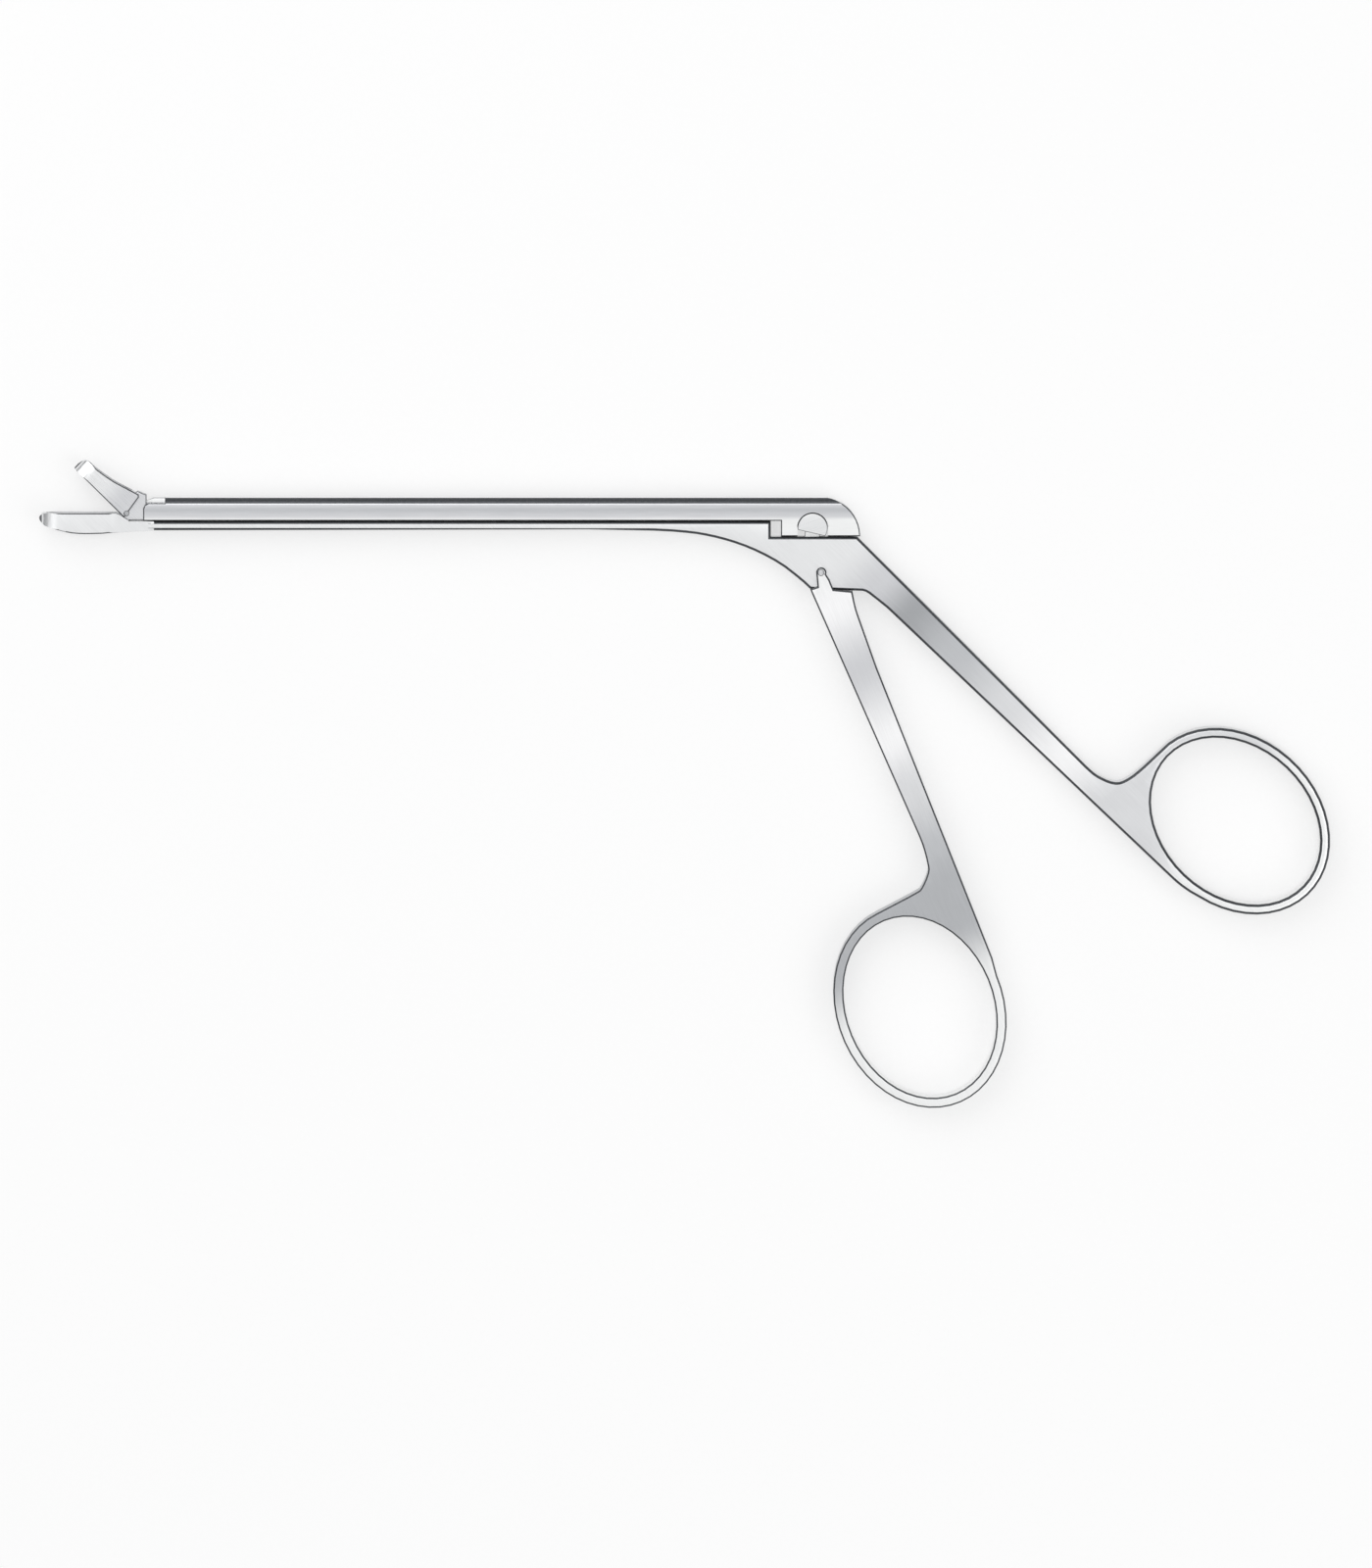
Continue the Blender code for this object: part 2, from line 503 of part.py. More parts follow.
def build_moving_jaw():
    """Hollow upper jaw with the forked neck that hinges on the body and is pulled by the slide."""
    reach = UPPER_JAW_REACH
    face = UPPER_JAW_FACE
    top = smooth([(-1.5, 5.25), (-2.7, 4.9), (-4.3, 4.4), (-6.0, 3.93), (-9.0, 3.45), (0.95 - reach, 3.38),
                  (0.30 - reach, 3.05), (-reach, face + 0.9)], 3)
    profile = top + [(0.03 - reach, face + 0.1), (0.2 - reach, face), (-0.55, face), (-1.15, 5.0)]
    jaw = extrusion("moving_jaw", [profile], -HALF_UPPER_JAW, HALF_UPPER_JAW, JAW_FRAME, FINE_EDGE)
    plan = spoon_plan(reach, HALF_UPPER_JAW, 1.0, HALF_UPPER_JAW, 0.85)
    combine(jaw, extrusion("upper_jaw_plan", [plan], -1.0, 8.0, JAW_FRAME, along_y=True), "INTERSECT")
    window = spoon_plan(reach - UPPER_JAW_WALL - 0.25, HALF_UPPER_JAW - UPPER_JAW_WALL, -2.7,
                        HALF_UPPER_JAW - UPPER_JAW_WALL, 0.7)
    combine(jaw, extrusion("upper_jaw_window", [window], -1.0, 8.0, JAW_FRAME, along_y=True), "DIFFERENCE")

    hub = arc((0.0, 0.0), JAW_HUB_RADIUS, 150.0, 380.0)
    neck = hub + [(1.25, SEAM_ABOVE_JAW_PIVOT + 0.14), (NECK_REACH, SEAM_ABOVE_JAW_PIVOT + 0.14)]
    neck += [(NECK_REACH, 4.72), (3.1, 4.95), (2.45, 5.30), (2.0, 4.9), (-0.1, 1.9)]
    neck_closed = turned(neck, JAW_OPEN)
    combine(jaw, extrusion("jaw_neck", [neck_closed], -HALF_NECK, HALF_NECK, JAW_FRAME, 0.1), "UNION")
    fork = extrusion("jaw_fork", [box_outline(FORK_ROOT, 8.0, -4.0, 9.0)], -HALF_FORK, HALF_FORK, JAW_FRAME)
    combine(jaw, fork, "DIFFERENCE")
    combine(jaw, pin("jaw_hub_bore", JAW_PIN_RADIUS + PIN_CLEARANCE, -4.0, 4.0, JAW_FRAME), "DIFFERENCE")
    link_closed = turned([(0.0, LINK_ARM)], JAW_OPEN / 2.0)[0]
    link_bore = pin("jaw_link_bore", LINK_PIN_RADIUS + PIN_CLEARANCE, -4.0, 4.0, JAW_FRAME, link_closed)
    combine(jaw, link_bore, "DIFFERENCE")
    return finish(jaw, steel("steel_jaw", (0.62, 0.63, 0.64), 0.24))


def build_moving_handle():
    """Front shank and ring, forked over the body, with the blade that drives the slide."""
    blends = shifted([(-6.78, 14.62), (12.22, 5.12)], FRONT_RING_CENTRE)
    ring_start = ellipse_angle(FRONT_RING_CENTRE, RING_HALF_AXES, FRONT_RING_LEAN_DEG, blends[0])
    ring_end = ellipse_angle(FRONT_RING_CENTRE, RING_HALF_AXES, FRONT_RING_LEAN_DEG, blends[1])
    while ring_end < ring_start:
        ring_end += 360.0
    outline = [(-1.37, -3.34)]
    outline += smooth(shifted([(-1.18, 28.86), (0.28, 25.42), (1.11, 22.38), (1.17, 20.86), (0.2, 18.58),
                               (-0.71, 17.82), (-3.52, 16.3)], FRONT_RING_CENTRE), 3)
    outline += ellipse(FRONT_RING_CENTRE, RING_HALF_AXES, FRONT_RING_LEAN_DEG, ring_start, ring_end)
    outline += shifted([(11.22, 7.72)], FRONT_RING_CENTRE)
    outline += smooth([(8.68, -14.74), (6.52, -8.66), (5.47, -5.62), (4.86, -2.89)], 3)
    outline += [(1.95, -2.62), (1.31, -1.06)]
    outline += arc((0.05, 0.03), EAR_RADIUS, -20.0, 190.0)
    outline += [(-0.55, -2.2), (-1.69, -2.58)]
    inner_axes = [axis - RING_BAND for axis in RING_HALF_AXES]
    hole = ellipse(FRONT_RING_CENTRE, inner_axes, FRONT_RING_LEAN_DEG, 0.0, 360.0)[:-1]
    handle = extrusion("moving_handle", [outline, hole], -HALF_HANDLE, HALF_HANDLE, FIXED, HANDLE_EDGE)

    gap = HALF_SHAFT + SIDE_CLEARANCE
    crotch = [(-8.0, 8.0), (-8.0, -2.9), (-1.0, -2.98), (0.0, -3.12), (7.0, -4.80), (9.0, 8.0)]
    combine(handle, extrusion("fork_gap", [crotch], -gap, gap, FIXED), "DIFFERENCE")
    combine(handle, extrusion("blade", [BLADE_LEFT + BLADE_RIGHT[::-1]], -HALF_BLADE, HALF_BLADE, FIXED), "UNION")
    bore = pin("ear_bore", HANDLE_PIN_RADIUS + PIN_CLEARANCE / 2.0, -4.0, 4.0, FIXED)
    combine(handle, bore, "DIFFERENCE")
    return finish(handle, steel("steel_handle", (0.60, 0.61, 0.62), 0.28))


def build_drive_head():
    """Round head on the blade, as wide as the slide, relieved below for its swing over the bed."""
    floor = BED_Y + DRIVE_CLEARANCE + SLIDING_GAP / 2.0
    drop_turned = DRIVE_ARM * math.cos(DRIVE_LEAN + HANDLE_SWING)
    sine = math.sin(HANDLE_SWING)
    cosine = math.cos(HANDLE_SWING)
    outline = []
    for x, y in arc((0.0, 0.0), DRIVE_HEAD_RADIUS, -90.0, 262.5):
        level_limit = floor - DRIVE_Y
        swing_limit = (floor - drop_turned - x * sine) / cosine
        outline.append((x + DRIVE_X, max(y, level_limit, swing_limit) + DRIVE_Y))
    half = HALF_SHAFT - 0.02
    head = extrusion("drive_head", [outline], -half, half, FIXED)
    half_slot = HALF_BLADE + SIDE_CLEARANCE / 2.0
    slot = box_outline(BLADE_LEFT[-2][0] - 0.1, BLADE_RIGHT[-2][0] + 0.2, BED_Y - OVERSHOOT,
                       BLADE_LEFT[-1][1] + SIDE_CLEARANCE)
    combine(head, extrusion("tenon_slot", [slot], -half_slot, half_slot, FIXED), "DIFFERENCE")
    return finish(head, steel("steel_drive_head", (0.55, 0.56, 0.57), 0.30))


def build_pins():
    """The three cross pins, each flush with what it passes through."""
    jaw_pin = pin("jaw_pivot_pin", JAW_PIN_RADIUS, -HALF_SHAFT, HALF_SHAFT - 0.35,
                  (JAW_PIVOT[0], JAW_PIVOT[1], 0.0))
    finish(jaw_pin, steel("steel_jaw_pin", (0.50, 0.51, 0.52), 0.30))
    link_closed = turned([(0.0, LINK_ARM)], JAW_OPEN / 2.0)[0]
    link_pin = pin("jaw_link_pin", LINK_PIN_RADIUS, 0.04 - HALF_NECK, HALF_NECK - 0.04, JAW_FRAME,
                   link_closed)
    finish(link_pin, steel("steel_link_pin", (0.50, 0.51, 0.52), 0.30))
    handle_pin = pin("handle_pivot_pin", HANDLE_PIN_RADIUS, 0.04 - HALF_HANDLE, HALF_HANDLE - 0.04, FIXED)
    finish(handle_pin, steel("steel_handle_pin", (0.50, 0.51, 0.52), 0.30))


def clear_scene():
    """Start from an empty scene."""
    for existing in list(bpy.data.objects):
        bpy.data.objects.remove(existing)


def new_collection(name):
    """A collection in the scene."""
    collection = bpy.data.collections.new(name)
    bpy.context.scene.collection.children.link(collection)
    return collection


def assembly_offset():
    """Place of the handle pivot when the bottom centre of the whole lies at the origin."""
    rear_across = ellipse_reach(RING_HALF_AXES, REAR_RING_LEAN_DEG)[0]
    front_down = ellipse_reach(RING_HALF_AXES, FRONT_RING_LEAN_DEG)[1]
    left = JAW_PIVOT[0] - LOWER_JAW_REACH
    right = REAR_RING_CENTRE[0] + rear_across
    low = FRONT_RING_CENTRE[1] - front_down
    tip_corner = turned([(0.45 - UPPER_JAW_REACH, UPPER_JAW_FACE + 2.1)], -JAW_OPEN)[0]
    high = JAW_PIVOT[1] + tip_corner[1]
    return (-(left + right) / 2.0 * MM, -(low + high) / 2.0 * MM, HALF_HANDLE * MM)


clear_scene()
PARTS = new_collection(OBJECT_NAME)
CUTTERS = new_collection("cutters")
ROOT = bpy.data.objects.new("forceps_frame", None)
PARTS.objects.link(ROOT)
ROOT.location = assembly_offset()

build_fixed_body()
build_slide()
build_moving_jaw()
build_moving_handle()
build_drive_head()
build_pins()
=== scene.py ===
# %% [markdown]
# # Nasal cutting forceps
# A steel instrument for the nose: two finger rings, a long flat shaft in two halves, and a hollow
# upper jaw that punches into the window of the lower one. It lies on its side on a white table and
# is seen almost straight from above, as in an instrument maker's drawing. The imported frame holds
# every moving piece; this script dresses them: it softens their edges and gives them their steel.

# %% Load the frame
import json
import math

import bmesh
import bpy
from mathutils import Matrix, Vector


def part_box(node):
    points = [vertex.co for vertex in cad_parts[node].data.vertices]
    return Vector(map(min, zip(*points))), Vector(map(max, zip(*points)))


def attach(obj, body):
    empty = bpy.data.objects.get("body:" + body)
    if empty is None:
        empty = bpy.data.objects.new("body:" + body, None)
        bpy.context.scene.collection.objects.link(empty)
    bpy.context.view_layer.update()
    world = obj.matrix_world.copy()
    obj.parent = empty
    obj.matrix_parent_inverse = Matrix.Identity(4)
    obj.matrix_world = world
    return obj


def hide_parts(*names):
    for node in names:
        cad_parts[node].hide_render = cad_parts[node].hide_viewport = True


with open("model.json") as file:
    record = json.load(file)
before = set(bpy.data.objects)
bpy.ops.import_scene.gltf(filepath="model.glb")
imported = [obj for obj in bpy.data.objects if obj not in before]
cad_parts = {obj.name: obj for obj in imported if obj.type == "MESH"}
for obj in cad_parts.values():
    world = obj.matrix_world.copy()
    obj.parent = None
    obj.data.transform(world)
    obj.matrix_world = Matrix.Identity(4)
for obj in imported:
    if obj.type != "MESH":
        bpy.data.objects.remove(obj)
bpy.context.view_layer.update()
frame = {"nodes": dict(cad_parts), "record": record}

# %% [markdown]
# ## Units and colours
# The forceps are small, so sizes are easier to read in millimetres. Colours are written the way a
# paint chart gives them, as sRGB hex, and one function turns them into the linear values that
# shaders work with.

# %% Units and colours
MM = 0.001


def linear_channel(value):
    """One sRGB channel, 0 to 1, as a linear value, by the curve of the sRGB standard."""
    return value / 12.92 if value <= 0.04045 else ((value + 0.055) / 1.055) ** 2.4


def linear(hex_colour):
    """sRGB hex text as linear red, green, blue and alpha."""
    channels = [int(hex_colour[i:i + 2], 16) / 255.0 for i in (1, 3, 5)]
    return tuple(linear_channel(value) for value in channels) + (1.0,)


print("white in linear values:", linear("#FFFFFF"))

# %% [markdown]
# ## Where the limbs run
# The frame's record gives the two hinges. The painted bands of shade and highlight on the body,
# the handle and the jaw are placed from them in millimetres; those of the slide are fitted to its
# box further down.

# %% Places from the frame
REAR_SHANK_DEG = -45.0
FRONT_SHANK_DEG = -67.3
OPEN_JAW_DEG = -45.0

joints = {joint["name"]: joint for joint in frame["record"]["behaviour"]["joints"]}
handle_pivot_mm = [value / MM for value in joints["handle_pivot"]["pos_m"]]
jaw_pivot_mm = [value / MM for value in joints["jaw_pivot"]["pos_m"]]
print("handle pivot", handle_pivot_mm, "jaw pivot", jaw_pivot_mm)

# %% [markdown]
# ## Which edges are soft
# A real forging is tumbled and polished, so no edge is truly sharp. The forged rounds along the
# outlines are already in the frame's meshes, as narrow sloping strips, and can be told by their
# width and slope. Only the corners that the milling cutter left are still sharp and need a bevel.

# %% Which edges are soft
MILLED_ANGLE = math.radians(60.0)  # a sharper turn is a corner from the cutter
WIDEST_ROUND = 0.55 * MM  # mean width of the widest strip that is a forged round
ROUND_SLOPES = (0.2, 0.97)  # least and greatest upward share of a round's normal
SLIDE_SLOPES = (0.35, 0.97)
NOSE_FROM = 9.5 * MM  # how far from its hinge a jaw's nose begins and ends
NOSE_TO = 14.0 * MM
LONGEST_NOSE_ROUND = 0.9 * MM
NOSE_SLOPES = (0.02, 0.50)


def is_round(face, slopes):
    """Whether a face is a narrow sloping strip, as the forged rounds are.

    The walls of a jaw's nose are such strips too, and of them only the steepest count.
    """
    longest = max(edge.calc_length() for edge in face.edges)
    from_hinge = (face.calc_center_median() - Vector(jaw_pivot_mm) * MM).length
    if NOSE_FROM < from_hinge < NOSE_TO and longest > LONGEST_NOSE_ROUND:
        slopes = NOSE_SLOPES
    narrow = face.calc_area() < WIDEST_ROUND * longest
    return slopes[0] < abs(face.normal.z) < slopes[1] and narrow


def is_milled(edge, radius):
    """Whether an edge is a milled corner, with no edge beside it too short for the bevel."""
    if len(edge.link_faces) != 2 or edge.calc_face_angle(0.0) < MILLED_ANGLE:
        return False
    return all(beside.calc_length() > 2.0 * radius
               for vertex in edge.verts for beside in vertex.link_edges)


print("milled corners turn by more than", round(math.degrees(MILLED_ANGLE)), "degrees")

# %% [markdown]
# ## Flats that stay flat
# Plain smooth shading would bend the light all over a flat. Here each corner's normal is the mean
# of the faces around it, weighted by their area, so a flat stays flat to its edge and the strip
# beside it carries the whole turn. A weighted normal modifier would do the same, but a few lines
# of arithmetic keep the mesh free of modifiers.

# %% Flats that stay flat
SMOOTH_ANGLE = math.radians(50.0)  # faces that turn less than this share their shading


def weigh_normals(mesh):
    """Give each corner the mean normal of the faces around it, weighted by their area."""
    around = [[] for _ in mesh.vertices]
    for polygon in mesh.polygons:
        for vertex in polygon.vertices:
            around[vertex].append((polygon.normal.copy(), polygon.area))
    least = math.cos(SMOOTH_ANGLE)
    normals = []
    for polygon in mesh.polygons:
        for vertex in polygon.vertices:
            total = Vector((0.0, 0.0, 0.0))
            for normal, area in around[vertex]:
                if normal.dot(polygon.normal) > least:
                    total += normal * area
            normals.append(total.normalized() if total.length > 0.0 else polygon.normal.copy())
    mesh.normals_split_custom_set(normals)


print("shading is shared up to", round(math.degrees(SMOOTH_ANGLE)), "degrees")

# %% [markdown]
# ## Softened steel edges
# The frame's meshes are loose triangles, so each copy is merged first and its flat triangles are
# dissolved into whole faces; a bevel needs real edges to work on. The rounds and the new bevels
# get the second steel of the piece. The materials go on before the mesh is edited, because
# clearing a mesh's materials also forgets which face had which.

# %% Soften a copy of a piece
MERGE_DISTANCE = 0.0008 * MM
FLAT_ANGLE = math.radians(0.6)  # triangles that turn less than this are one face
EDGE_SEGMENTS = 3
EDGE_STEEL = 1  # place of the edge steel among a piece's materials


def soften_edges(mesh, radius, slopes):
    """Merge a mesh, bevel its milled corners and mark its soft edges; returns the corner count."""
    shape = bmesh.new()
    shape.from_mesh(mesh)
    bmesh.ops.remove_doubles(shape, verts=shape.verts, dist=MERGE_DISTANCE)
    bmesh.ops.dissolve_limit(shape, angle_limit=FLAT_ANGLE, verts=shape.verts, edges=shape.edges)
    milled = [edge for edge in shape.edges if is_milled(edge, radius)]
    milled_count = len(milled)
    for face in [face for face in shape.faces if is_round(face, slopes)]:
        face.material_index = EDGE_STEEL
    bevelled = bmesh.ops.bevel(shape, geom=milled, offset=radius, offset_type="OFFSET",
                               segments=EDGE_SEGMENTS, profile=0.5, affect="EDGES",
                               clamp_overlap=True, material=-1)["faces"]
    for face in bevelled:
        face.material_index = EDGE_STEEL
    bmesh.ops.triangulate(shape, faces=[face for face in shape.faces if len(face.verts) > 4])
    shape.to_mesh(mesh)
    shape.free()
    return milled_count


def softened(node, name, body, radius_mm, steel, slopes=ROUND_SLOPES):
    """A copy of a frame piece with softened edges: steel on its flats, edge steel on its rounds."""
    mesh = frame["nodes"][node].data.copy()
    mesh.name = name
    piece = bpy.data.objects.new(name, mesh)
    bpy.context.scene.collection.objects.link(piece)
    mesh.materials.clear()
    mesh.materials.append(steel)
    mesh.materials.append(edge_steel)
    milled_count = soften_edges(mesh, radius_mm * MM, slopes)
    mesh.shade_smooth()
    weigh_normals(mesh)
    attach(piece, body)
    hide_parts(node)
    whole_area = sum(face.area for face in mesh.polygons)
    edge_area = sum(face.area for face in mesh.polygons if face.material_index == EDGE_STEEL)
    print(name, "faces", len(mesh.polygons), "milled edges", milled_count,
          "edge share", round(edge_area / whole_area, 3))
    return piece


print("bevels have", EDGE_SEGMENTS, "segments")

# %% [markdown]
# ## One helper for shader nodes
# Every material below is a small node tree. This helper adds a node, sets its options, its
# unlinked inputs and the stops of a colour ramp, and makes its links, so a tree reads like a list
# of what feeds what.

# %% Node helper
def add_node(owner, kind, settings=None, inputs=None, stops=()):
    """A node in the tree of a material or world.

    An input given as a socket is linked, any other is set; stops are places and hex colours.
    """
    tree = owner.node_tree
    made = tree.nodes.new(kind)
    for key, value in (settings or {}).items():
        setattr(made, key, value)
    for key, value in (inputs or {}).items():
        if isinstance(value, bpy.types.NodeSocket):
            tree.links.new(value, made.inputs[key])
        else:
            made.inputs[key].default_value = value
    if stops:
        elements = made.color_ramp.elements
        while len(elements) < len(stops):
            elements.new(0.5)
        for element, (position, colour) in zip(elements, stops):
            element.position = position
            element.color = linear(colour)
    return made


def new_material(name):
    """A new node material and its Principled shader."""
    material = bpy.data.materials.new(name)
    material.use_nodes = True
    return material, material.node_tree.nodes["Principled BSDF"]


def mottled(material, grain_mm, stops):
    """A colour that wanders between stops, in grains of a size."""
    place = add_node(material, "ShaderNodeTexCoord").outputs["Object"]
    grain = add_node(material, "ShaderNodeTexNoise", {}, {
        "Vector": place, "Scale": 1.0 / (grain_mm * MM), "Detail": 2.0}).outputs["Fac"]
    return add_node(material, "ShaderNodeValToRGB", {}, {"Fac": grain}, stops).outputs["Color"]


print("helpers:", add_node.__name__, new_material.__name__, mottled.__name__)

# %% [markdown]
# ## The greys of ground steel
# Forceps are forged from stainless steel, ground, glass-bead blasted and brushed to a satin that
# doesn't dazzle the surgeon. To the eye that is a pale neutral grey with broad, soft bands where
# the hand grinding left the flats slightly crowned. Eight greys are enough for all pieces; they
# differ only in how much light the ground flat sends back.

# %% Greys
# tones of painted highlight and painted shade, lightest first
LIGHTEST = "#F9F9FA"
BRIGHT = "#F2F3F3"
PALE = "#E7E8E9"
SOFT = "#DCDDDF"
MIDDLE = "#D1D2D5"
GREY = "#C1C3C6"
DIM = "#B6B8BB"
DARK = "#A7A9AC"
print("greys from", LIGHTEST, "to", DARK)

# %% [markdown]
# ## The brushing
# A brush leaves fine scratches, all in one direction. Noise stretched along that direction gives
# them: it is read at a point measured in stroke lengths one way and stroke widths the other.

# %% Brushing
BRUSH_LENGTH_MM = 6.0
BRUSH_WIDTH_MM = 0.12  # real strokes are about 0.02 mm wide; they are drawn coarser, to show


def heading(angle_deg):
    """The unit vector at an angle from the x axis, in the plane of the table."""
    angle = math.radians(angle_deg)
    return math.cos(angle), math.sin(angle), 0.0


def brushed(material, place, brush_deg):
    """The height of brush strokes that run at an angle, 0 to 1."""
    measured = []
    for angle_deg, size_mm in ((brush_deg, BRUSH_LENGTH_MM), (brush_deg + 90.0, BRUSH_WIDTH_MM)):
        distance = add_node(material, "ShaderNodeVectorMath", {"operation": "DOT_PRODUCT"},
                            {0: place, 1: heading(angle_deg)}).outputs["Value"]
        measured.append(add_node(material, "ShaderNodeMath", {"operation": "DIVIDE"},
                                 {0: distance, 1: size_mm * MM}).outputs[0])
    stretched = add_node(material, "ShaderNodeCombineXYZ", {},
                         {"X": measured[0], "Y": measured[1]}).outputs[0]
    return add_node(material, "ShaderNodeTexNoise", {}, {
        "Vector": stretched, "Scale": 1.0, "Detail": 3.0, "Roughness": 0.6}).outputs["Fac"]


print("brush strokes", BRUSH_LENGTH_MM, "by", BRUSH_WIDTH_MM, "mm")

# %% [markdown]
# ## Satin surgical steel
# The painted bands of shade and highlight run across each limb, so a colour ramp on the distance
# along the limb gives their place, and a little broad noise makes them wander. The brushing then
# tints the bands, varies their gloss and raises a slight relief.

# %% Satin steel
WANDER_SCALE = 60.0  # per metre, so the bands wander over about 17 mm
WANDER_SHARE = 0.03  # of the banded length
NOISE_LOW, NOISE_HIGH = 0.3, 0.7  # nearly all values of a noise lie between these
TINT_LOW, TINT_HIGH = 0.96, 1.03
GLOSS_LOW, GLOSS_HIGH = -0.05, 0.06
RELIEF_STRENGTH = 0.10
RELIEF_MM = 0.02
SATIN_ROUGHNESS = 0.34


def painted_shade_bands(material, place, direction_deg, origin_mm, length_mm, stops):
    """The colour of soft bands of painted shade and highlight that follow each other in a
    direction, over a length.
    """
    centred = add_node(material, "ShaderNodeVectorMath", {"operation": "SUBTRACT"},
                       {0: place, 1: (origin_mm[0] * MM, origin_mm[1] * MM, 0.0)}).outputs[0]
    station = add_node(material, "ShaderNodeVectorMath", {"operation": "DOT_PRODUCT"},
                       {0: centred, 1: heading(direction_deg)}).outputs["Value"]
    wander = add_node(material, "ShaderNodeTexNoise", {}, {
        "Vector": place, "Scale": WANDER_SCALE, "Detail": 1.0}).outputs["Fac"]
    shifted = add_node(material, "ShaderNodeMath", {"operation": "MULTIPLY_ADD"},
                       {0: wander, 1: WANDER_SHARE * length_mm * MM, 2: station}).outputs[0]
    share = add_node(material, "ShaderNodeMath", {"operation": "DIVIDE"},
                     {0: shifted, 1: length_mm * MM}).outputs[0]
    ramp = add_node(material, "ShaderNodeValToRGB", {}, {"Fac": share}, stops)
    ramp.color_ramp.interpolation = "EASE"
    return ramp.outputs["Color"]


def satin_steel(name, direction_deg, origin_mm, length_mm, stops, brush_deg,
                roughness=SATIN_ROUGHNESS):
    """Brushed stainless steel with soft bands of painted shade and highlight.

    The bands follow each other in direction_deg, from origin_mm on, over length_mm; stops are their
    places, 0 to 1, with a colour. The brush strokes run in brush_deg.
    """
    material, shader = new_material(name)
    place = add_node(material, "ShaderNodeTexCoord").outputs["Object"]
    # the painted shade and highlight along the limb
    bands = painted_shade_bands(material, place, direction_deg, origin_mm, length_mm, stops)
    brushing = brushed(material, place, brush_deg)
    noise_range = {"Value": brushing, "From Min": NOISE_LOW, "From Max": NOISE_HIGH}
    tint = add_node(material, "ShaderNodeMapRange", {},
                    noise_range | {"To Min": TINT_LOW, "To Max": TINT_HIGH}).outputs[0]
    colour = add_node(material, "ShaderNodeVectorMath", {"operation": "SCALE"},
                      {0: bands, "Scale": tint}).outputs[0]
    gloss = add_node(material, "ShaderNodeMapRange", {}, noise_range | {
        "To Min": roughness + GLOSS_LOW, "To Max": roughness + GLOSS_HIGH}).outputs[0]
    relief = add_node(material, "ShaderNodeBump", {}, {
        "Height": brushing, "Strength": RELIEF_STRENGTH, "Distance": RELIEF_MM * MM}).outputs[0]
    links = material.node_tree.links
    links.new(colour, shader.inputs["Base Color"])
    links.new(gloss, shader.inputs["Roughness"])
    links.new(relief, shader.inputs["Normal"])
    shader.inputs["Metallic"].default_value = 1.0
    return material


print("satin steel has a roughness of about", SATIN_ROUGHNESS)

# %% [markdown]
# ## Rounded edges
# The edges are rounded last, by tumbling the finished parts in stone, which leaves them a little
# duller than the brushed flats. Their dark grey is painted shade, standing for the dark reflection
# that the rounded edges catch. A mottled grey from fine noise is enough at this width.

# %% Edge steel
EDGE_GRAIN_MM = 0.25
EDGE_ROUGHNESS = 0.42


def painted_dark_edge_steel(name, dark, light):
    """Stainless steel left dull by tumbling, mottled between two greys; given dark ones, they are
    painted shade.
    """
    material, shader = new_material(name)
    grey = mottled(material, EDGE_GRAIN_MM, [(NOISE_LOW, dark), (NOISE_HIGH, light)])
    material.node_tree.links.new(grey, shader.inputs["Base Color"])
    shader.inputs["Metallic"].default_value = 1.0
    shader.inputs["Roughness"].default_value = EDGE_ROUGHNESS
    return material


# the dark greys are painted shade on the rounded edges
edge_steel = painted_dark_edge_steel("edge_steel_painted_dark", "#505255", "#606265")
print("edge steel", edge_steel.name)

# %% [markdown]
# ## The fixed body
# One forging from the lower jaw to the rear ring. Its painted shade is darkest a quarter of the way
# down the rear shank, and its painted highlights brighten again towards the ring.

# %% Fixed body
body_steel = satin_steel(
    "satin_steel_body", direction_deg=REAR_SHANK_DEG, brush_deg=REAR_SHANK_DEG,
    origin_mm=(handle_pivot_mm[0] - 2.0, handle_pivot_mm[1] + 8.0), length_mm=88.0,
    stops=[(0.0, PALE), (0.10, PALE), (0.18, MIDDLE), (0.26, DARK), (0.36, GREY), (0.50, SOFT),
           (0.63, LIGHTEST), (0.74, SOFT), (0.84, SOFT), (0.94, BRIGHT)])
softened("fixed_body", "body_forging", "frame", radius_mm=0.08, steel=body_steel)

# %% [markdown]
# ## The moving handle
# The front limb has painted bands of highlight and shade: a bright one below its shoulder, a grey
# one, another bright one near its middle and a dark one where it widens into the ring.

# %% Moving handle
handle_steel = satin_steel(
    "satin_steel_handle", direction_deg=FRONT_SHANK_DEG, brush_deg=FRONT_SHANK_DEG,
    origin_mm=(handle_pivot_mm[0], handle_pivot_mm[1]), length_mm=74.0,
    stops=[(0.0, BRIGHT), (0.09, LIGHTEST), (0.23, MIDDLE), (0.39, LIGHTEST), (0.51, SOFT),
           (0.64, GREY), (0.72, DIM), (0.81, DIM), (0.94, BRIGHT)])
softened("moving_handle", "front_handle", "handle", radius_mm=0.08, steel=handle_steel)

# %% [markdown]
# ## The slide
# The upper shaft is drawn bar, rounded along its top. Its bands are painted shading of that rounded
# top and run lengthwise: a painted highlight at the top edge, a grey shaded core and a bright foot
# at the seam, so the ramp runs across the bar.

